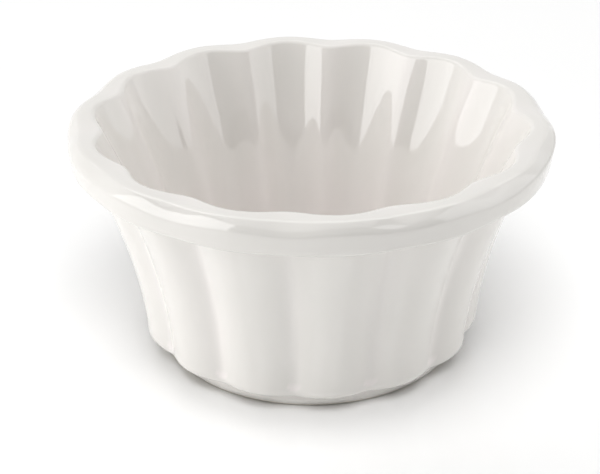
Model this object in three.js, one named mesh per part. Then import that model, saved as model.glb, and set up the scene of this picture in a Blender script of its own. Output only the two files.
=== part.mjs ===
// Fluted sauce dish: a small round bowl with fourteen lobes, a thick scalloped collar and a plain foot ring.
// It is one fired clay body with two coats of glaze: one over the outside, the rim and the inside,
// and one in the recess within the foot ring. The ring itself stands bare.
// Millimetres, +Z up. The origin is the centre of the circle that the foot ring stands on.

import * as THREE from "three";

const { lerp, degToRad, euclideanModulo } = THREE.MathUtils;

// Overall sizes. Radii are those at the crests of the lobes.
const dishHeight = 41.1;
const rimRadius = 41;
const footRadius = 26;

// Rim and collar. The collar swells from its lower edge to its belly and leans in again to its shoulder,
// where it turns over to the rim's top.
const rimWidth = 4.4;
const rimTopInset = 2.25;
const rimDip = 0.35;
const lipRound = 1.0;
const lipTurn = degToRad(64);
const shoulderInset = 1.2;
const shoulderDrop = 0.2;
const bellyDrop = 1.95;
const collarHeight = 5.95;
const collarLean = 0.4;
const collarStepBelow = 0.9;
const collarStepAbove = 1.0;

// Wall: it leaves the foot nearly upright and flares towards the rim. Inside it is a plainer cone,
// so that it is thickest over the floor's corner.
const wallThickness = 3.35;
const wallFootThickness = 4.5;
const wallBendOut = 1.2;
const wallBendHeight = 21.5;
const insideBow = 1.0;
const lobeOverhang = 3.5;
const lobeCornerRound = 2.3;

// Foot ring and floor
const footHeight = 2.8;
const footRingWidth = 3.4;
const footEdgeRound = 0.5;
const recessDepth = 1.8;
const recessRound = 0.7;
const floorThickness = 3.4;
const floorCornerRound = 7;

// Glaze. It lies on the clay with a hair's breadth of clearance.
const glazeThickness = 0.4;
const glazeClearance = 0.02;
const bareFootHeight = 0.7;

// Flutes: how far the surface falls in between two lobes, level by level. Two lobes meet in a cusp
// on the outside of the wall, and more softly on the collar, the rim and the inside.
const lobeCount = 14;
const cuspSoftness = 0.15;
const ridgeSoftness = 0.38;
const lobeBaseFlute = 0.6;
const wallFootFlute = 1.4;
const wallTopFlute = 2.0;
const collarFlute = 0.3;
const rimFlute = 0.8;
const lipFlute = 1.9;
const floorCornerFlute = 1.5;

// Finishes
const bareClay = { color: "#e9e4da", roughness: 0.7, metalness: 0 };
const whiteGlaze = { color: "#f4f2ec", roughness: 0.08, metalness: 0 };
const recessGlaze = { color: "#f3f1ea", roughness: 0.12, metalness: 0 };

// Fineness of the mesh
const stepsPerLobe = 6;
const wallSteps = 3;
const cornerSteps = 3;
const roundSteps = 2;
const bisections = 40;

// Places that follow from the sizes above
const quarterTurn = Math.PI / 2;
const floorTop = recessDepth + floorThickness;
const recessRadius = footRadius - footRingWidth;
const collarBase = dishHeight - collarHeight;
const collarBaseRadius = rimRadius - collarLean;
const belly = new THREE.Vector2(rimRadius, dishHeight - bellyDrop);
const shoulder = new THREE.Vector2(rimRadius - shoulderInset, dishHeight - shoulderDrop);
const collarBend = new THREE.Vector2(rimRadius, (belly.y + shoulder.y) / 2);
const rimTop = new THREE.Vector2(rimRadius - rimTopInset, dishHeight);
const lipCentre = new THREE.Vector2(rimRadius - rimWidth + lipRound, dishHeight - lipRound);
const lipEnd = new THREE.Vector2(
  lipCentre.x + lipRound * Math.cos(quarterTurn + lipTurn),
  lipCentre.y + lipRound * Math.sin(quarterTurn + lipTurn),
);
const wallFoot = new THREE.Vector2(footRadius + lobeOverhang, footHeight + lobeCornerRound);
const wallOutside = new THREE.QuadraticBezierCurve(
  wallFoot,
  new THREE.Vector2(wallFoot.x + wallBendOut, wallBendHeight),
  new THREE.Vector2(lipEnd.x + wallThickness, lipEnd.y),
);
const insideFootHeight = floorTop + floorCornerRound;
const outsideThere = wallOutside.getPoint(shareAtHeight(wallOutside, insideFootHeight));
const insideFoot = new THREE.Vector2(outsideThere.x - wallFootThickness, insideFootHeight);
const wallInside = new THREE.QuadraticBezierCurve(
  insideFoot,
  insideFoot.clone().lerp(lipEnd, 0.5).sub(new THREE.Vector2(insideBow, 0)),
  lipEnd,
);

// Where along a rising curve it reaches a height, from 0 at its foot to 1 at its top.
function shareAtHeight(curve, height) {
  let low = 0;
  let high = 1;
  for (let step = 0; step < bisections; step++) {
    const middle = (low + high) / 2;
    if (curve.getPoint(middle).y < height) low = middle;
    else high = middle;
  }
  return low;
}

// How far into a flute an angle lies: 0 on a lobe's crest, 1 midway between two lobes.
// A lobe is a shallow arc, and the edge where two of them meet is softened.
function fluteShare(angle, softness) {
  const halfPitch = Math.PI / lobeCount;
  const offCrest = euclideanModulo(angle + halfPitch, 2 * halfPitch) - halfPitch;
  const offCusp = 1 - Math.abs(offCrest) / halfPitch;
  const rise = Math.hypot(offCusp, softness) - softness;
  const fullRise = Math.hypot(1, softness) - softness;
  return (1 - rise / fullRise) ** 2;
}

// One point of the section through a lobe's crest, with the depth and softness of the flutes there.
function station(radius, height, flute) {
  return { radius, height, flute, softness: cuspSoftness };
}

// The same stations with the softer ridges of the collar, the rim and the inside.
function withRidges(stations) {
  return stations.map((here) => ({ ...here, softness: ridgeSoftness }));
}

// Stations along a curve, or part of one, after its first point. The flute depth blends from end to end.
function along(curve, steps, fluteFrom, fluteTo, from = 0, to = 1) {
  return Array.from({ length: steps }, (_, index) => {
    const share = (index + 1) / steps;
    const point = curve.getPoint(lerp(from, to, share));
    return station(point.x, point.y, lerp(fluteFrom, fluteTo, share));
  });
}

// Unit vector square to a step of the section, pointing into the clay.
function intoClay(from, to) {
  return new THREE.Vector2(from.height - to.height, to.radius - from.radius).normalize();
}

// The face that lies some way under a glazed face: every station moved in by that depth.
function underGlaze(glazed, depth) {
  return glazed.map((here, index) => {
    const previous = glazed[index - 1];
    const next = glazed[index + 1];
    const before = previous ? intoClay(previous, here) : intoClay(here, next);
    const after = next ? intoClay(here, next) : before;
    const mitre = before.clone().add(after).normalize();
    const move = mitre.multiplyScalar(depth / mitre.dot(before));
    return { ...here, radius: here.radius + move.x, height: here.height + move.y };
  });
}

// The glazed face from the bare foot up the outside, over the rim and down to the middle of the floor.
function coatFace() {
  const lobeCorner = new THREE.EllipseCurve(
    wallFoot.x - lobeCornerRound,
    wallFoot.y,
    lobeCornerRound,
    lobeCornerRound,
    -quarterTurn,
    0,
  );
  const stepFrom = shareAtHeight(wallOutside, collarBase - collarStepBelow);
  const collarStep = new THREE.CubicBezierCurve(
    wallOutside.getPoint(stepFrom),
    wallOutside.getPoint(shareAtHeight(wallOutside, collarBase)),
    new THREE.Vector2(collarBaseRadius, collarBase),
    new THREE.Vector2(collarBaseRadius, collarBase + collarStepAbove),
  );
  const collarFace = new THREE.QuadraticBezierCurve(belly, collarBend, shoulder);
  const turnOver = shoulderDrop / (shoulder.y - collarBend.y);
  const rimEdge = collarBend.clone().lerp(shoulder, 1 + turnOver);
  const rimCorner = new THREE.QuadraticBezierCurve(shoulder, rimEdge, rimTop);
  const lip = new THREE.EllipseCurve(
    lipCentre.x,
    lipCentre.y,
    lipRound,
    lipRound,
    quarterTurn,
    quarterTurn + lipTurn,
  );
  const wallLean = wallInside.getTangent(0);
  const cornerRadius = insideFoot.x - (floorCornerRound * wallLean.x) / wallLean.y;
  const floorCorner = new THREE.QuadraticBezierCurve(
    insideFoot,
    new THREE.Vector2(cornerRadius, floorTop),
    new THREE.Vector2(cornerRadius - floorCornerRound, floorTop),
  );
  const outside = [
    station(footRadius, bareFootHeight, 0),
    station(footRadius, footHeight, 0),
    station(wallFoot.x - lobeCornerRound, footHeight, lobeBaseFlute),
    ...along(lobeCorner, roundSteps, lobeBaseFlute, wallFootFlute),
    ...along(wallOutside, wallSteps, wallFootFlute, wallTopFlute, 0, stepFrom),
  ];
  const rimAndInside = [
    ...along(collarStep, cornerSteps, wallTopFlute, collarFlute),
    station(belly.x, belly.y, collarFlute),
    ...along(collarFace, cornerSteps, collarFlute, rimFlute),
    ...along(rimCorner, roundSteps, rimFlute, rimFlute),
    station(lipCentre.x, dishHeight, lipFlute),
    ...along(lip, roundSteps, lipFlute, lipFlute),
    ...along(wallInside, wallSteps, lipFlute, floorCornerFlute, 1, 0),
    ...along(floorCorner, cornerSteps, floorCornerFlute, 0),
    station(0, floorTop, 0),
  ];
  return [...outside, ...withRidges(rimAndInside)];
}

// The glazed face of the recess, from its middle outwards and down the inside of the foot ring.
function recessFace() {
  const recessCorner = new THREE.EllipseCurve(
    recessRadius - recessRound,
    recessDepth - recessRound,
    recessRound,
    recessRound,
    quarterTurn,
    0,
    true,
  );
  return [
    station(0, recessDepth, 0),
    station(recessRadius - recessRound, recessDepth, 0),
    ...along(recessCorner, roundSteps, 0, 0),
    station(recessRadius, bareFootHeight, 0),
  ];
}

// The bare foot ring below the glaze, from its inside to its outside.
function bareFoot() {
  const inside = recessRadius + glazeThickness;
  const outside = footRadius - glazeThickness;
  return [
    station(inside, footEdgeRound, 0),
    station(inside + footEdgeRound, 0, 0),
    station(outside - footEdgeRound, 0, 0),
    station(outside, footEdgeRound, 0),
  ];
}

// Triangles of a turned section. Each patch is cut along the diagonal that falls with the turn,
// whichever way the section runs, so that the clay and the glaze on it share the same triangles.
function turnedTriangles(section, columns) {
  const rows = section.length;
  const triangles = [];
  for (let column = 0; column < columns; column++) {
    for (let row = 0; row < rows - 1; row++) {
      const here = section[row];
      const next = section[row + 1];
      const near = column * rows + row;
      const far = near + rows;
      const level = next.height === here.height;
      const rising = level ? next.radius > here.radius : next.height > here.height;
      if (rising) triangles.push(near, far, near + 1, far + 1, near + 1, far);
      else triangles.push(near, far, far + 1, far + 1, near + 1, near);
    }
  }
  return triangles;
}

// How much of the rim's dip a height takes part in: all of it at the rim's top, none below the collar.
function dipShare(height) {
  return Math.max(0, 1 - (dishHeight - height) / collarHeight);
}

// A section that starts and ends on the axis, turned round it, pressed in between the lobes
// and pressed down there along the rim.
function flutedSolid(section) {
  const outline = section.map((here) => new THREE.Vector2(here.radius, here.height));
  const columns = lobeCount * stepsPerLobe;
  const geometry = new THREE.LatheGeometry(outline, columns);
  const position = geometry.getAttribute("position");
  for (let index = 0; index < position.count; index++) {
    const here = section[index % section.length];
    const angle = Math.atan2(position.getX(index), position.getZ(index));
    const pressed = fluteShare(angle, here.softness);
    const radius = here.radius - here.flute * pressed;
    position.setX(index, radius * Math.sin(angle));
    position.setY(index, here.height - rimDip * dipShare(here.height) * pressed);
    position.setZ(index, radius * Math.cos(angle));
  }
  geometry.setIndex(turnedTriangles(section, columns));
  geometry.rotateX(quarterTurn);
  geometry.computeVertexNormals();
  return geometry;
}

// A named piece of the dish.
function piece(name, section, finish) {
  const mesh = new THREE.Mesh(flutedSolid(section), new THREE.MeshStandardMaterial(finish));
  mesh.name = name;
  return mesh;
}

const coat = coatFace();
const recess = recessFace();
const clay = [...underGlaze(recess, glazeThickness), ...bareFoot(), ...underGlaze(coat, glazeThickness)];
const coatBack = underGlaze(coat, glazeThickness - glazeClearance);
const recessBack = underGlaze(recess, glazeThickness - glazeClearance);

const sauceDish = new THREE.Group();
sauceDish.add(
  piece("porcelain_body", clay, bareClay),
  piece("glaze_coat", [...coatBack.toReversed(), ...coat], whiteGlaze),
  piece("underside_glaze", [...recess, ...recessBack.toReversed()], recessGlaze),
);

export default sauceDish;
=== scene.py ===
"""Fluted sauce dish: its finish and its studio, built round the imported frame.

Three pieces ride on the frame's one body: the fired clay, the glaze over it, and the patch of glaze
within the foot ring. Metres, +Z up. The dish stands on the origin with the crest of a lobe towards -Y.
"""

import math

import bmesh
import bpy
from bpy.props import FloatProperty, FloatVectorProperty, IntProperty, PointerProperty
from bpy.types import Operator, Panel, PropertyGroup
from mathutils import Matrix, Vector
from mathutils.geometry import interpolate_bezier


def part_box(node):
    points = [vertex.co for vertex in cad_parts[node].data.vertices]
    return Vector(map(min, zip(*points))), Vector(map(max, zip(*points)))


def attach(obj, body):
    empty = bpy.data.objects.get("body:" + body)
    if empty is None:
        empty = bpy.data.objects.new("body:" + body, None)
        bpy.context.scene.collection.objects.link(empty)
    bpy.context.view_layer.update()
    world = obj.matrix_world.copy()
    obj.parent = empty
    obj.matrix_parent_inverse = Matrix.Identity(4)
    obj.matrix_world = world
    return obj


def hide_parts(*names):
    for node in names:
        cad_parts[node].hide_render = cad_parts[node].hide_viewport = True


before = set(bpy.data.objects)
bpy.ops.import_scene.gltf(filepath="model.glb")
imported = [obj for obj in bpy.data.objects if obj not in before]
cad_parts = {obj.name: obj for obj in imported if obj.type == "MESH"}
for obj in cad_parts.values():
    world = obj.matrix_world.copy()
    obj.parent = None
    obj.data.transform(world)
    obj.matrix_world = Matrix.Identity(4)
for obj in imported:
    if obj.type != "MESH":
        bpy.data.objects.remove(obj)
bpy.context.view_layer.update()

bl_info = {
    "name": "Fluted Sauce Dish",
    "version": (1, 0, 0),
    "blender": (4, 5, 0),
    "location": "View3D > Sidebar > Sauce Dish",
    "description": "Builds a glazed, fluted sauce dish and the studio that it is shown in",
    "category": "Add Mesh",
}

BODY = "root"
MM = 0.001
QUARTER_ROUND = 0.5523
PARABOLA = 2 / 3
MERGE_DISTANCE = 0.001 * MM
FLUTE_LAYER = "flute"
SOFTNESS_LAYER = "softness"
COVER_LAYER = "cover"
# Kept on each point: glaze pooled between the lobes, and painted light, a lighter and pinker tone deep in
# the bowl
POOLING_AND_LIGHT_LAYER = "pooling_and_painted_light"
FLUTE_POOLING = 0.3
NOISE_MIDDLE = 0.5
FLOOR_SEGMENTS = 96
NEAREST_SEEN = 10 * MM

# Steps along the curves of a section
ROUND_STEPS = 6
CORNER_STEPS = 8
RIM_STEPS = 10
COLLAR_STEPS = 14
INSIDE_STEPS = 20
WALL_STEPS = 28

rim_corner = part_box("glaze_coat")[1]


# Sizes, colours and studio settings

def size(name, description, default):
    """A length that a user may change."""
    return FloatProperty(name=name, description=description, default=default, unit="LENGTH", precision=5)


def share(name, description, default):
    """A share from 0 to 1."""
    return FloatProperty(name=name, description=description, default=default, min=0, max=1, subtype="FACTOR")


def turn(name, description, degrees):
    """An angle, shown in degrees."""
    return FloatProperty(name=name, description=description, default=math.radians(degrees), subtype="ANGLE")


def number(name, description, default):
    """A plain number. A light with the brightness 1 is as bright as white paper."""
    return FloatProperty(name=name, description=description, default=default, min=0)


def colour(name, description, default):
    """A colour in linear red, green and blue."""
    return FloatVectorProperty(
        name=name, description=description, default=default, min=0, max=1, subtype="COLOR", size=3
    )


class DishForm(PropertyGroup):
    """Sizes of the dish. Radii are those at the crests of the lobes."""

    dish_height: size("Dish height", "From the foot to the top of the rim", rim_corner.z)
    rim_radius: size("Rim radius", "From the axis to the outside of the rim", rim_corner.y)
    foot_radius: size("Foot radius", "From the axis to the outside of the foot ring", 26 * MM)
    rim_width: size("Rim width", "Across the rim, from its outside to its lip", 4.4 * MM)
    rim_top_inset: size("Rim top inset", "How far inside the rim its top begins", 2.25 * MM)
    rim_dip: size("Rim dip", "How far the rim's top dips between two lobes", 0.35 * MM)
    shoulder_inset: size("Shoulder inset", "How far in the collar leans at its upper edge", 1.2 * MM)
    shoulder_drop: size("Shoulder drop", "How far below the rim's top that upper edge lies", 0.2 * MM)
    belly_drop: size("Belly drop", "How far below the rim's top the collar is widest", 1.95 * MM)
    lip_round: size("Lip round", "Radius of the rim's inner edge", 1.0 * MM)
    lip_turn: turn("Lip turn", "How far the lip turns over from level", 64)
    lip_corner: size("Lip corner", "How far out from the lip's end its corner lies", 0.25 * MM)
    collar_height: size("Collar height", "From the collar's lower edge to the top of the rim", 5.95 * MM)
    collar_lean: size("Collar lean", "How far the collar's lower edge lies inside the rim", 0.4 * MM)
    collar_step_below: size("Step below collar", "How far down the wall the step begins", 0.9 * MM)
    collar_step_above: size("Step above collar", "How far up the collar the step ends", 1.0 * MM)
    wall_thickness: size("Wall thickness", "Thickness of the wall under the rim", 3.35 * MM)
    wall_bend_out: size("Wall bend", "How far out the wall's bend lies from its foot", 1.2 * MM)
    wall_bend_height: size("Wall bend height", "Height of the wall's bend", 21.5 * MM)
    lobe_overhang: size("Lobe overhang", "How far the lobes stand out over the foot ring", 3.5 * MM)
    lobe_corner_round: size("Lobe corner round", "Radius of the lobes' lower corner", 2.3 * MM)
    foot_height: size("Foot height", "Height of the foot ring's outside", 2.8 * MM)
    foot_fillet: size("Foot fillet", "Radius of the glaze in the corner over the foot", 0.6 * MM)
    foot_ring_width: size("Foot ring width", "Across the foot ring", 3.4 * MM)
    foot_edge_round: size("Foot edge round", "Radius of the bare foot's edges", 0.5 * MM)
    recess_depth: size("Recess depth", "Depth of the recess within the foot ring", 1.8 * MM)
    recess_round: size("Recess round", "Radius of the recess's corner", 0.7 * MM)
    floor_thickness: size("Floor thickness", "Thickness of the bowl's floor", 3.4 * MM)
    floor_corner_round: size("Floor corner round", "Radius of the corner round the bowl's floor", 7 * MM)
    glaze_thickness: size("Glaze thickness", "Thickness of the glaze", 0.4 * MM)
    bare_foot_height: size("Bare foot height", "How far the foot ring is left bare", 0.7 * MM)
    inside_foot_radius: size("Inside foot radius", "Inside of the wall at the floor's corner", 25.8 * MM)
    inside_bulge: size("Inside bulge", "How far the inside wall bows in between lip and floor", 1.0 * MM)
    lobe_count: IntProperty(name="Lobes", description="Number of lobes", default=14, min=3)
    cusp_softness: share("Cusp softness", "How soft the cusp between two lobes is, outside", 0.15)
    ridge_softness: share("Ridge softness", "How soft the ridge between two lobes is, inside", 0.38)
    lobe_base_flute: size("Lobe base flute", "Depth of the flutes under the lobes", 0.6 * MM)
    wall_foot_flute: size("Wall foot flute", "Depth of the flutes at the wall's foot", 1.4 * MM)
    wall_top_flute: size("Wall top flute", "Depth of the flutes under the collar", 2.0 * MM)
    collar_foot_flute: size("Collar foot flute", "Depth of the flutes low on the collar", 0.15 * MM)
    collar_flute: size("Collar flute", "Depth of the flutes where the collar is widest", 0.3 * MM)
    rim_flute: size("Rim flute", "Depth of the flutes on the rim's outer edge", 0.8 * MM)
    lip_flute: size("Lip flute", "Depth of the flutes on the lip", 1.9 * MM)
    floor_corner_flute: size("Floor corner flute", "Depth of the flutes at the floor's corner", 1.5 * MM)
    steps_per_lobe: IntProperty(name="Steps per lobe", description="Faces across a lobe", default=28, min=4)
    clay_steps_per_lobe: IntProperty(
        name="Clay steps per lobe",
        description="Faces across a lobe of the clay, most of it hidden",
        default=16,
        min=4,
    )


class DishFinish(PropertyGroup):
    """Colours and gloss of the dish."""

    glaze_colour: colour("Glaze", "White glaze where it lies thin", (0.795, 0.774, 0.738))
    # Lighter and pinker: it tints glaze pooled between the lobes, and is also painted light deep in the bowl
    pooled_and_lit_colour: colour("Pooled glaze", "White glaze where it lies thick", (0.9, 0.85, 0.833))
    recess_colour: colour("Recess glaze", "White glaze within the foot ring", (0.82, 0.80, 0.76))
    clay_colour: colour("Bare clay", "Fired porcelain without glaze", (0.78, 0.74, 0.67))
    clay_speck_colour: colour("Clay specks", "Fine dark grain in the bare porcelain", (0.56, 0.51, 0.44))
    glaze_roughness: share("Glaze roughness", "Roughness of the glaze where it is smoothest", 0.03)
    clay_roughness: share("Clay roughness", "Roughness of the bare porcelain", 0.62)
    glaze_ripple: size("Glaze ripple", "Height of the soft ripples in the glaze", 0.02 * MM)
    glaze_index: number("Glaze index", "Index of refraction of the glaze", 1.75)
    haze_roughness: share("Haze roughness", "How much rougher the glaze is where it is hazy", 0.03)
    # Also sets how strongly the painted light deep in the bowl shows
    pooled_and_lit_share: share("Pooled share", "How far pooled glaze takes the pooled colour", 0.75)
    cloud_share: share("Cloud share", "How far soft clouds shift the colour of the glaze", 0.5)
    cloud_size: size("Cloud size", "Width of the clouds in the glaze", 14 * MM)
    ripple_size: size("Ripple size", "Width of the ripples in the glaze", 9 * MM)
    haze_size: size("Haze size", "Width of the hazy blotches in the gloss", 5 * MM)
    grain_size: size("Grain size", "Width of the grains of the bare porcelain", 0.35 * MM)
    grain_relief: size("Grain relief", "Height of the grains", 0.04 * MM)
    grain_roughness: share("Grain roughness", "How much rougher the grains are", 0.2)
    blush_size: size("Blush size", "Width of the blotches in the bare porcelain", 11 * MM)
    blush_share: share("Blush share", "How far the blotches take the colour of the specks", 0.3)
    speck_share: share("Speck share", "How far the grains take the colour of the specks", 0.55)
    speck_start: share("Speck start", "Grain from which a speck begins to show", 0.56)
    speck_full: share("Speck full", "Grain from which a speck shows fully", 0.75)


class DishStudio(PropertyGroup):
    """Camera, lights and floor. Directions are turned from the camera's, towards +X, and up."""

    camera_azimuth: turn("Camera azimuth", "Turn of the camera from -Y towards +X", -7.16)
    camera_elevation: turn("Camera elevation", "Height of the camera over the horizon", 27.25)
    camera_distance: size("Camera distance", "From the camera to the point that it looks at", 276 * MM)
    camera_lens: FloatProperty(
        name="Lens", description="Focal length on a 36 mm sensor", default=94.7, unit="CAMERA"
    )
    aim_aside: size("Aim aside", "How far beside the axis the camera looks", -1.8 * MM)
    aim_height: size("Aim height", "Height of the point that the camera looks at", 18.35 * MM)
    key_from: turn("Key from", "Where the softbox on the left begins, turned from the camera", -100)
    key_to: turn("Key to", "Where the softbox on the left ends", -34)
    key_strength: number("Key", "Brightness of the softbox on the left", 2.45)
    fill_from: turn("Fill from", "Where the softbox on the right begins", 52)
    fill_to: turn("Fill to", "Where the softbox on the right ends", 118)
    fill_strength: number("Fill", "Brightness of the softbox on the right", 1.5)
    side_to: turn("Side to", "Where the softbox between fill and backdrop ends", 150)
    side_strength: number("Side", "Brightness of the softbox between fill and backdrop", 0.85)
    back_to: turn("Backdrop to", "Where the pale backdrop ends", 260)
    back_strength: number("Backdrop", "Brightness of the pale backdrop", 0.82)
    front_from: turn("Front from", "Where the raised softbox in front begins", -34)
    front_to: turn("Front to", "Where the raised softbox in front ends", 52)
    front_lift: turn("Front lift", "How high over the horizon the softbox in front begins", 21)
    front_strength: number("Front", "Brightness of the softbox in front", 0.27)
    softbox_rise: turn("Softbox rise", "How high the upright softboxes reach over the horizon", 58)
    softbox_distance: size("Softbox distance", "From the dish to the upright softboxes", 0.7)
    top_strength: number("Top", "Brightness of the softbox overhead", 0.75)
    top_height: size("Top height", "Height of the softbox overhead", 0.9)
    top_width: size("Top width", "Width of the softbox overhead, which is square", 0.9)
    rear_top_strength: number("Rear top", "Brightness of the softbox overhead and behind", 1.0)
    rear_top_back: size("Rear top back", "How far behind the axis that softbox hangs", 0.55)
    rear_top_height: size("Rear top height", "Height of that softbox", 0.8)
    rear_top_width: size("Rear top width", "Width of that softbox", 0.9)
    rear_top_depth: size("Rear top depth", "How deep that softbox is", 0.4)
    floor_light: number("Floor light", "Brightness of the lamp over the floor alone", 5.5)
    floor_light_rise: turn("Floor light rise", "How high over the horizon that lamp stands", 66)
    floor_light_distance: size("Floor light distance", "From the dish to that lamp", 2.2)
    floor_light_width: size("Floor light width", "Width of that lamp, which is square", 1.7)
    sky_strength: number("Sky", "Brightness of the room all round", 0.02)
    floor_colour: colour("Floor", "Pale floor", (0.96, 0.96, 0.957))
    floor_radius: size("Floor radius", "Radius of the floor", 3.0)
    floor_roughness: share("Floor roughness", "Roughness of the floor where it is smoothest", 0.05)
    floor_index: number("Floor index", "Index of refraction of the floor", 1.55)
    mottle_colour: colour("Mottle", "Faint mottle in the floor", (0.94, 0.94, 0.94))
    mottle_size: size("Mottle size", "Width of the mottle", 60 * MM)
    mottle_share: share("Mottle share", "How far the mottle shows in the floor's colour", 0.2)
    mottle_roughness: share("Mottle roughness", "How much rougher the mottle is", 0.04)


# Node trees, with arithmetic written as Python expressions

class Signal:
    """An output of a node. Arithmetic on it adds Math nodes."""

    def __init__(self, finish, socket):
        self.finish = finish
        self.socket = socket

    def math(self, operation, first, second):
        sockets = {"Value": first, "Value_001": second}
        return self.finish.node("ShaderNodeMath", {"operation": operation}, sockets)

    def __add__(self, other):
        return self.math("ADD", self, other)

    def __radd__(self, other):
        return self.math("ADD", other, self)

    def __sub__(self, other):
        return self.math("SUBTRACT", self, other)

    def __rsub__(self, other):
        return self.math("SUBTRACT", other, self)

    def __mul__(self, other):
        return self.math("MULTIPLY", self, other)

    def __rmul__(self, other):
        return self.math("MULTIPLY", other, self)


class Finish:
    """A material, and the nodes that it is made of."""

    def __init__(self, name):
        self.material = bpy.data.materials.new(name)
        self.material.use_nodes = True
        self.tree = self.material.node_tree
        self.tree.nodes.clear()

    def node(self, kind, settings=None, sockets=None, output=0):
        """Adds a node: first its settings, then the values or links of its sockets."""
        node = self.tree.nodes.new(kind)
        for setting, value in (settings or {}).items():
            setattr(node, setting, value)
        inputs = {socket.identifier: socket for socket in node.inputs}
        for identifier, value in (sockets or {}).items():
            if isinstance(value, Signal):
                self.tree.links.new(value.socket, inputs[identifier])
            else:
                inputs[identifier].default_value = value
        if isinstance(output, int):
            return Signal(self, node.outputs[output]) if node.outputs else None
        found = next(socket for socket in node.outputs if socket.identifier == output)
        return Signal(self, found)

    def place(self):
        """Object coordinates, in metres."""
        return self.node("ShaderNodeTexCoord", output="Object")

    def attribute(self, name):
        """A number kept on the points of the piece's mesh."""
        return self.node("ShaderNodeAttribute", {"attribute_name": name}, output="Fac")

    def noise(self, across, detail=2.0, roughness=0.5):
        """Soft noise from 0 to 1, whose blotches are about as far across as the length given."""
        sockets = {"Vector": self.place(), "Scale": 1 / across, "Detail": detail, "Roughness": roughness}
        return self.node("ShaderNodeTexNoise", {}, sockets)

    def blend(self, factor, first, second):
        """A colour between two others."""
        settings = {"data_type": "RGBA", "clamp_factor": True}
        sockets = {"Factor_Float": factor, "A_Color": opaque(first), "B_Color": opaque(second)}
        return self.node("ShaderNodeMix", settings, sockets, output="Result_Color")

    def clamped(self, value, low, high):
        """A value moved from between two limits to between 0 and 1."""
        sockets = {"Value": value, "From Min": low, "From Max": high}
        return self.node("ShaderNodeMapRange", {"interpolation_type": "SMOOTHSTEP"}, sockets)

    def bump(self, height, distance):
        """A normal from a height between 0 and 1, whose full rise is the distance."""
        return self.node("ShaderNodeBump", {}, {"Height": height, "Distance": distance, "Strength": 1.0})

    def surface(self, sockets):
        """Ends the tree in the surface shader with these sockets."""
        shader = self.node("ShaderNodeBsdfPrincipled", {}, sockets)
        self.node("ShaderNodeOutputMaterial", {}, {"Surface": shader})
        return self.material


def opaque(value):
    """A colour with full alpha, or a link as it is."""
    return value if isinstance(value, Signal) else (*value, 1.0)


# Finishes

def white_glaze(name, thin_colour, thick_colour, look):
    """Glossy white glaze, with a soft ripple and an uneven gloss. It takes another tint where it pools
    between the lobes, and the same tint is painted light, lighter and pinker, deep in the bowl.
    """
    finish = Finish(name)
    pooling_and_painted_light = finish.attribute(POOLING_AND_LIGHT_LAYER)
    clouds = finish.noise(look.cloud_size)
    ripple = finish.noise(look.ripple_size, detail=1.0)
    haze = finish.noise(look.haze_size, detail=3.0)
    # Glaze pooled between the lobes, and the painted light deep in the bowl, both take the pooled colour;
    # the clouds shift it at random
    thickness = pooling_and_painted_light * look.pooled_and_lit_share + (clouds - NOISE_MIDDLE) * look.cloud_share
    return finish.surface({
        "Base Color": finish.blend(thickness, thin_colour, thick_colour),
        "Roughness": look.glaze_roughness + haze * look.haze_roughness,
        "IOR": look.glaze_index,
        "Normal": finish.bump(ripple, look.glaze_ripple),
    })


def bare_porcelain(look):
    """Fired clay without glaze: matt, with a fine grain."""
    finish = Finish("bare_porcelain")
    grain = finish.noise(look.grain_size, detail=4.0, roughness=0.65)
    blush = finish.noise(look.blush_size)
    specks = finish.clamped(grain, look.speck_start, look.speck_full)
    tone = specks * look.speck_share + blush * look.blush_share
    return finish.surface({
        "Base Color": finish.blend(tone, look.clay_colour, look.clay_speck_colour),
        "Roughness": look.clay_roughness + grain * look.grain_roughness,
        "Normal": finish.bump(grain, look.grain_relief),
    })


def pale_floor(studio):
    """Pale studio floor with a faint gloss."""
    finish = Finish("pale_floor")
    mottle = finish.noise(studio.mottle_size)
    tone = mottle * studio.mottle_share
    return finish.surface({
        "Base Color": finish.blend(tone, studio.floor_colour, studio.mottle_colour),
        "Roughness": studio.floor_roughness + mottle * studio.mottle_roughness,
        "IOR": studio.floor_index,
    })


# Turned pieces

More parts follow.
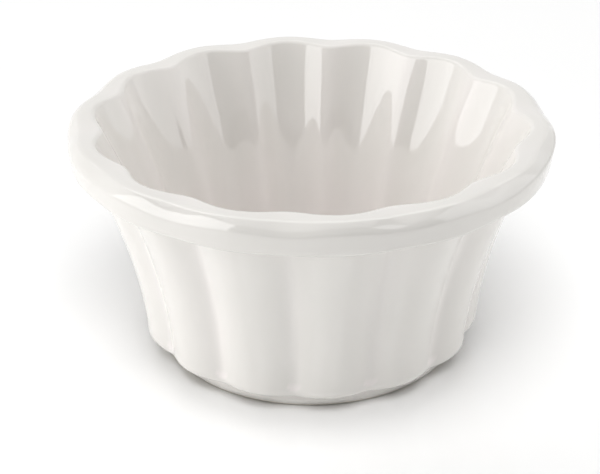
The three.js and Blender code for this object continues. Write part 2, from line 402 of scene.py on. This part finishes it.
class Section:
    """Half of a piece cut through the crest of a lobe: a line of points, out from the axis and up."""

    def __init__(self):
        self.mesh = bmesh.new()
        layers = self.mesh.verts.layers.float
        self.flute = layers.new(FLUTE_LAYER)
        self.softness = layers.new(SOFTNESS_LAYER)
        self.cover = layers.new(COVER_LAYER)
        self.last = None
        self.cusp = 1.0

    def point(self, place, flute=0.0, cover=0.0, softness=1.0):
        """Adds a point and joins it to the last one."""
        vertex = self.mesh.verts.new((0, -place.x, place.y))
        vertex[self.flute] = flute
        vertex[self.softness] = softness
        vertex[self.cover] = cover
        if self.last:
            self.mesh.edges.new((self.last, vertex))
        self.last = vertex

    @property
    def end(self):
        """Where the line has come to."""
        return Vector((-self.last.co.y, self.last.co.z))

    def line(self, end, flute=0.0, steps=1):
        """Goes straight to a point."""
        self.bend(self.end.lerp(end, 0.5), end, flute, steps)

    def bend(self, corner, end, flute=0.0, steps=ROUND_STEPS, fullness=QUARTER_ROUND, within=None):
        """Goes to a point in a curve that bends towards a corner.

        Points outside the two heights given as within are left out.
        """
        handles = self.end.lerp(corner, fullness), end.lerp(corner, fullness)
        self.curve(handles, end, flute, steps, within)

    def curve(self, handles, end, flute, steps, within=None):
        """Goes to a point in a curve with two handles. The flute depth and the cusp blend on the way."""
        first_flute = self.last[self.flute]
        first_softness = self.last[self.softness]
        cover = self.last[self.cover]
        points = interpolate_bezier(self.end, *handles, end, steps + 1)
        for step, place in enumerate(points[1:], 1):
            if within and not within[0] <= place.y <= within[1]:
                continue
            blend = step / steps
            depth = first_flute + (flute - first_flute) * blend
            softness = first_softness + (self.cusp - first_softness) * blend
            self.point(place, depth, cover, softness)

    def turned(self, form, steps_per_lobe):
        """Turns the line round the axis and presses the flutes in. Returns the mesh, facing outwards."""
        mesh = self.mesh
        bmesh.ops.spin(
            mesh,
            geom=mesh.verts[:] + mesh.edges[:],
            axis=(0, 0, 1),
            angle=math.tau,
            steps=form.lobe_count * steps_per_lobe,
            use_merge=True,
        )
        bmesh.ops.remove_doubles(mesh, verts=mesh.verts, dist=MERGE_DISTANCE)
        for vertex in mesh.verts:
            press_flute(vertex, vertex[self.flute], vertex[self.softness], form)
        bmesh.ops.recalc_face_normals(mesh, faces=mesh.faces)
        return mesh


def flute_share(angle, soft, form):
    """How far into a flute an angle lies: 0 on the crest of a lobe, 1 in the cusp between two."""
    half_pitch = math.pi / form.lobe_count
    off_crest = abs((angle + half_pitch) % (2 * half_pitch) - half_pitch)
    rise = math.hypot(1 - off_crest / half_pitch, soft) - soft
    full_rise = math.hypot(1, soft) - soft
    return (1 - rise / full_rise) ** 2


def press_flute(vertex, depth, soft, form):
    """Moves a point in towards the axis by its share of the flute's depth, and down where the rim dips."""
    radius = vertex.co.xy.length
    if not radius:
        return
    pressed = flute_share(math.atan2(vertex.co.x, -vertex.co.y), soft, form)
    vertex.co.xy *= (radius - depth * pressed) / radius
    near_rim = 1 - min(1, (form.dish_height - vertex.co.z) / form.collar_height)
    vertex.co.z -= form.rim_dip * pressed * near_rim


def coat_line(section, form):
    """The glazed face: from the bare foot up the outside, over the rim and down to the floor's middle."""
    height, rim, foot = form.dish_height, form.rim_radius, form.foot_radius
    underside = form.foot_height
    fillet = form.foot_fillet
    section.cusp = form.cusp_softness
    section.point(Vector((foot, form.bare_foot_height)), 0.0, form.glaze_thickness, section.cusp)
    section.line(Vector((foot, underside - fillet)), steps=2)
    section.bend(Vector((foot, underside)), Vector((foot + fillet, underside)), form.lobe_base_flute)

    wall_foot = Vector((foot + form.lobe_overhang, underside + form.lobe_corner_round))
    section.line(Vector((wall_foot.x - form.lobe_corner_round, underside)), form.lobe_base_flute, steps=2)
    section.bend(Vector((wall_foot.x, underside)), wall_foot, form.wall_foot_flute, CORNER_STEPS)

    lip_centre = Vector((rim - form.rim_width + form.lip_round, height - form.lip_round))
    lip_end = lip_centre + form.lip_round * Vector((-math.sin(form.lip_turn), math.cos(form.lip_turn)))
    wall_top = lip_end + Vector((form.wall_thickness, 0))
    wall_bend = Vector((wall_foot.x + form.wall_bend_out, form.wall_bend_height))
    collar_base = height - form.collar_height
    step_start = collar_base - form.collar_step_below
    below_step = 0, step_start
    section.bend(wall_bend, wall_top, form.wall_top_flute, WALL_STEPS, PARABOLA, within=below_step)

    collar_foot = Vector((rim - form.collar_lean, collar_base))
    collar_top = collar_foot + Vector((0, form.collar_step_above))
    section.cusp = form.ridge_softness
    wall_end = section.end
    wall_end.y = collar_base
    section.curve((wall_end, collar_foot), collar_top, form.collar_foot_flute, COLLAR_STEPS)
    belly = Vector((rim, height - form.belly_drop))
    section.line(belly, form.collar_flute, steps=4)

    shoulder = Vector((rim - form.shoulder_inset, height - form.shoulder_drop))
    lean = Vector((rim, (belly.y + shoulder.y) / 2))
    section.bend(lean, shoulder, form.rim_flute, RIM_STEPS, PARABOLA)
    rim_edge = shoulder + (shoulder - lean) * (form.shoulder_drop / (shoulder.y - lean.y))
    rim_top = Vector((rim - form.rim_top_inset, height))
    section.bend(rim_edge, rim_top, form.rim_flute, RIM_STEPS, PARABOLA)
    section.line(Vector((lip_centre.x, height)), form.lip_flute, steps=3)
    lip_corner = Vector((lip_end.x + form.lip_corner, height))
    section.bend(lip_corner, lip_end, form.lip_flute, CORNER_STEPS)

    floor_top = form.recess_depth + form.floor_thickness
    inside_foot = Vector((form.inside_foot_radius, floor_top + form.floor_corner_round))
    middle = lip_end.lerp(inside_foot, 0.5) - Vector((form.inside_bulge, 0))
    section.bend(middle, inside_foot, form.floor_corner_flute, INSIDE_STEPS, PARABOLA)

    wall_lean = (middle - inside_foot).normalized()
    corner = inside_foot - wall_lean * (form.floor_corner_round / wall_lean.y)
    floor_edge = Vector((corner.x - form.floor_corner_round, floor_top))
    section.bend(corner, floor_edge, 0.0, RIM_STEPS, PARABOLA)
    section.line(Vector((0, floor_top)), steps=4)


def recess_line(section, form):
    """The glazed face of the recess, from its middle outwards and down the inside of the foot ring."""
    radius = form.foot_radius - form.foot_ring_width
    depth, corner = form.recess_depth, form.recess_round
    section.point(Vector((0, depth)), cover=form.glaze_thickness)
    section.line(Vector((radius - corner, depth)), steps=4)
    section.bend(Vector((radius, depth)), Vector((radius, depth - corner)))
    section.line(Vector((radius, form.bare_foot_height)))


def bare_foot_line(section, form):
    """The bare foot ring below the glaze, from its inside to its outside."""
    inside = form.foot_radius - form.foot_ring_width + form.glaze_thickness
    outside = form.foot_radius - form.glaze_thickness
    edge = form.foot_edge_round
    section.point(Vector((inside, edge)))
    section.bend(Vector((inside, 0)), Vector((inside + edge, 0)))
    section.line(Vector((outside - edge, 0)), steps=3)
    section.bend(Vector((outside, 0)), Vector((outside, edge)))


def keep_looks(mesh, form):
    """Keeps on each point how far the glaze takes its pooled tint: it pools between the lobes, and deep in
    the bowl the tint is painted light on the upward faces.
    """
    pooling_and_painted_light = mesh.verts.layers.float.new(POOLING_AND_LIGHT_LAYER)
    flute = mesh.verts.layers.float[FLUTE_LAYER]
    softness = mesh.verts.layers.float[SOFTNESS_LAYER]
    bowl_depth = form.dish_height - form.recess_depth - form.floor_thickness
    mesh.normal_update()
    for vertex in mesh.verts:
        depth = vertex[flute] / form.lip_flute
        angle = math.atan2(vertex.co.x, -vertex.co.y)
        between = depth * flute_share(angle, vertex[softness], form) ** 2
        # Painted light: the upward faces deep in the bowl get the lighter, pinker pooled colour, more so the
        # deeper they lie
        painted_light_depth = (form.dish_height - vertex.co.z) / bowl_depth if vertex.normal.z > 0 else 0
        vertex[pooling_and_painted_light] = min(1, between * FLUTE_POOLING + painted_light_depth ** 2)


def piece_from(mesh, name, material):
    """Turns a finished mesh into an object that rides on the frame."""
    for face in mesh.faces:
        face.smooth = True
    data = bpy.data.meshes.new(name)
    mesh.to_mesh(data)
    mesh.free()
    data.materials.append(material)
    piece = bpy.data.objects.new(name, data)
    bpy.context.scene.collection.objects.link(piece)
    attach(piece, BODY)
    return piece


def glaze_shell(section, form, steps_per_lobe):
    """A coat of glaze on the face that a section turns."""
    mesh = section.turned(form, steps_per_lobe)
    keep_looks(mesh, form)
    bmesh.ops.solidify(mesh, geom=mesh.faces[:], thickness=form.glaze_thickness)
    return mesh


class SAUCEDISH_OT_porcelain_body(Operator):
    """Fired clay body: wall, collar, floor and the bare foot ring"""

    bl_idname = "sauce_dish.porcelain_body"
    bl_label = "Porcelain Body"

    def execute(self, context):
        form = context.scene.sauce_dish_form
        section = Section()
        recess_line(section, form)
        bare_foot_line(section, form)
        coat_line(section, form)
        mesh = section.turned(form, form.clay_steps_per_lobe)
        mesh.normal_update()
        for vertex in mesh.verts:
            vertex.co -= vertex.normal * vertex[section.cover]
        piece = piece_from(mesh, "fired_clay", bare_porcelain(context.scene.sauce_dish_finish))
        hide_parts("porcelain_body")
        return {"FINISHED"}


class SAUCEDISH_OT_glaze_coat(Operator):
    """Glaze over the outside, the rim and the inside"""

    bl_idname = "sauce_dish.glaze_coat"
    bl_label = "Glaze Coat"

    def execute(self, context):
        form = context.scene.sauce_dish_form
        look = context.scene.sauce_dish_finish
        section = Section()
        coat_line(section, form)
        mesh = glaze_shell(section, form, form.steps_per_lobe)
        material = white_glaze("white_glaze", look.glaze_colour, look.pooled_and_lit_colour, look)
        piece = piece_from(mesh, "dish_glaze", material)
        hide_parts("glaze_coat")
        return {"FINISHED"}


class SAUCEDISH_OT_underside_glaze(Operator):
    """Patch of glaze in the recess within the foot ring"""

    bl_idname = "sauce_dish.underside_glaze"
    bl_label = "Underside Glaze"

    def execute(self, context):
        form = context.scene.sauce_dish_form
        look = context.scene.sauce_dish_finish
        section = Section()
        recess_line(section, form)
        mesh = glaze_shell(section, form, form.clay_steps_per_lobe)
        material = white_glaze("underside_white_glaze", look.recess_colour, look.pooled_and_lit_colour, look)
        piece = piece_from(mesh, "recess_glaze", material)
        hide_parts("underside_glaze")
        return {"FINISHED"}


# Studio

def around(studio, azimuth, elevation, distance, centre):
    """A point at a distance from a centre, in a direction turned from the camera's."""
    turned = studio.camera_azimuth + azimuth
    level = math.cos(elevation)
    out = Vector((math.sin(turned) * level, -math.cos(turned) * level, math.sin(elevation)))
    return centre + out * distance


def softbox(name, place, aim, width, height, brightness):
    """A rectangular softbox that faces a point."""
    lamp = bpy.data.lights.new(name, "AREA")
    lamp.shape = "RECTANGLE"
    lamp.size = width
    lamp.size_y = height
    lamp.energy = brightness * width * height * math.pi
    box = bpy.data.objects.new(name, lamp)
    box.location = place
    box.rotation_euler = (aim - place).to_track_quat("-Z", "Y").to_euler()
    bpy.context.scene.collection.objects.link(box)
    return box


def upright_softbox(name, studio, start, end, brightness, lift=0.0):
    """An upright softbox between two directions turned from the camera's, from the floor or a lift up."""
    distance = studio.softbox_distance
    width = 2 * distance * math.tan((end - start) / 2)
    bottom = distance * math.tan(lift)
    height = distance * math.tan(studio.softbox_rise) - bottom
    aim = Vector((0, 0, bottom + height / 2))
    place = around(studio, (start + end) / 2, 0, distance, aim)
    return softbox(name, place, aim, width, height, brightness)


class SAUCEDISH_OT_studio(Operator):
    """Floor, lights and camera"""

    bl_idname = "sauce_dish.studio"
    bl_label = "Studio"

    def execute(self, context):
        scene = context.scene
        studio = scene.sauce_dish_studio
        middle = Vector((0, 0, scene.sauce_dish_form.dish_height / 2))

        mesh = bmesh.new()
        bmesh.ops.create_circle(mesh, cap_ends=True, radius=studio.floor_radius, segments=FLOOR_SEGMENTS)
        data = bpy.data.meshes.new("floor")
        mesh.to_mesh(data)
        mesh.free()
        data.materials.append(pale_floor(studio))
        floor = bpy.data.objects.new("floor", data)
        scene.collection.objects.link(floor)

        world = bpy.data.worlds.new("studio_room")
        world.use_nodes = True
        background = world.node_tree.nodes["Background"]
        background.inputs["Color"].default_value = (1.0, 1.0, 1.0, 1.0)
        background.inputs["Strength"].default_value = studio.sky_strength
        scene.world = world

        key = upright_softbox("key_softbox", studio, studio.key_from, studio.key_to, studio.key_strength)
        fill = upright_softbox(
            "fill_softbox", studio, studio.fill_from, studio.fill_to, studio.fill_strength
        )
        side = upright_softbox("side_softbox", studio, studio.fill_to, studio.side_to, studio.side_strength)
        upright_softbox("backdrop", studio, studio.side_to, studio.back_to, studio.back_strength)
        upright_softbox(
            "front_softbox", studio, studio.front_from, studio.front_to,
            studio.front_strength, studio.front_lift,
        )
        overhead = Vector((0, 0, studio.top_height))
        top_width = studio.top_width
        top = softbox("top_softbox", overhead, middle, top_width, top_width, studio.top_strength)
        behind = Vector((0, studio.rear_top_back, studio.rear_top_height))
        softbox(
            "rear_top_softbox", behind, middle,
            studio.rear_top_width, studio.rear_top_depth, studio.rear_top_strength,
        )

        # The floor has a lamp of its own, so that it stays pale round the dish
        above_floor = around(studio, 0, studio.floor_light_rise, studio.floor_light_distance, middle)
        lamp_width = studio.floor_light_width
        floor_lamp = softbox(
            "floor_light", above_floor, middle, lamp_width, lamp_width, studio.floor_light
        )
        floor_alone = bpy.data.collections.new("floor_alone")
        floor_alone.objects.link(floor)
        floor_lamp.light_linking.receiver_collection = floor_alone
        all_but_floor = bpy.data.collections.new("all_but_floor")
        all_but_floor.objects.link(floor)
        all_but_floor.collection_objects[0].light_linking.link_state = "EXCLUDE"
        for box in (key, fill, side, top):
            box.light_linking.receiver_collection = all_but_floor

        aim = Vector((studio.aim_aside, 0, studio.aim_height))
        aim.rotate(Matrix.Rotation(studio.camera_azimuth, 3, "Z"))
        data = bpy.data.cameras.new("camera")
        data.lens = studio.camera_lens
        data.clip_start = NEAREST_SEEN
        camera = bpy.data.objects.new("camera", data)
        camera.location = around(studio, 0, studio.camera_elevation, studio.camera_distance, aim)
        camera.rotation_euler = (aim - camera.location).to_track_quat("-Z", "Y").to_euler()
        scene.collection.objects.link(camera)
        scene.camera = camera
        scene.view_settings.view_transform = "Standard"
        return {"FINISHED"}


class SAUCEDISH_PT_panel(Panel):
    """Lists the pieces of the dish, with their sizes and finishes"""

    bl_idname = "SAUCEDISH_PT_panel"
    bl_label = "Sauce Dish"
    bl_space_type = "VIEW_3D"
    bl_region_type = "UI"
    bl_category = "Sauce Dish"

    def draw(self, context):
        for piece in PIECES:
            self.layout.operator(piece.bl_idname)
        scene = context.scene
        for group in (scene.sauce_dish_form, scene.sauce_dish_finish, scene.sauce_dish_studio):
            box = self.layout.box()
            for name in group.__annotations__:
                box.prop(group, name)


PIECES = (
    SAUCEDISH_OT_porcelain_body,
    SAUCEDISH_OT_glaze_coat,
    SAUCEDISH_OT_underside_glaze,
    SAUCEDISH_OT_studio,
)
CLASSES = (DishForm, DishFinish, DishStudio, *PIECES, SAUCEDISH_PT_panel)


def register():
    for each in CLASSES:
        bpy.utils.register_class(each)
    bpy.types.Scene.sauce_dish_form = PointerProperty(type=DishForm)
    bpy.types.Scene.sauce_dish_finish = PointerProperty(type=DishFinish)
    bpy.types.Scene.sauce_dish_studio = PointerProperty(type=DishStudio)


def unregister():
    del bpy.types.Scene.sauce_dish_studio
    del bpy.types.Scene.sauce_dish_finish
    del bpy.types.Scene.sauce_dish_form
    for each in reversed(CLASSES):
        bpy.utils.unregister_class(each)


def main():
    register()
    bpy.ops.sauce_dish.porcelain_body()
    bpy.ops.sauce_dish.glaze_coat()
    bpy.ops.sauce_dish.underside_glaze()
    bpy.ops.sauce_dish.studio()


if __name__ == "__main__":
    main()
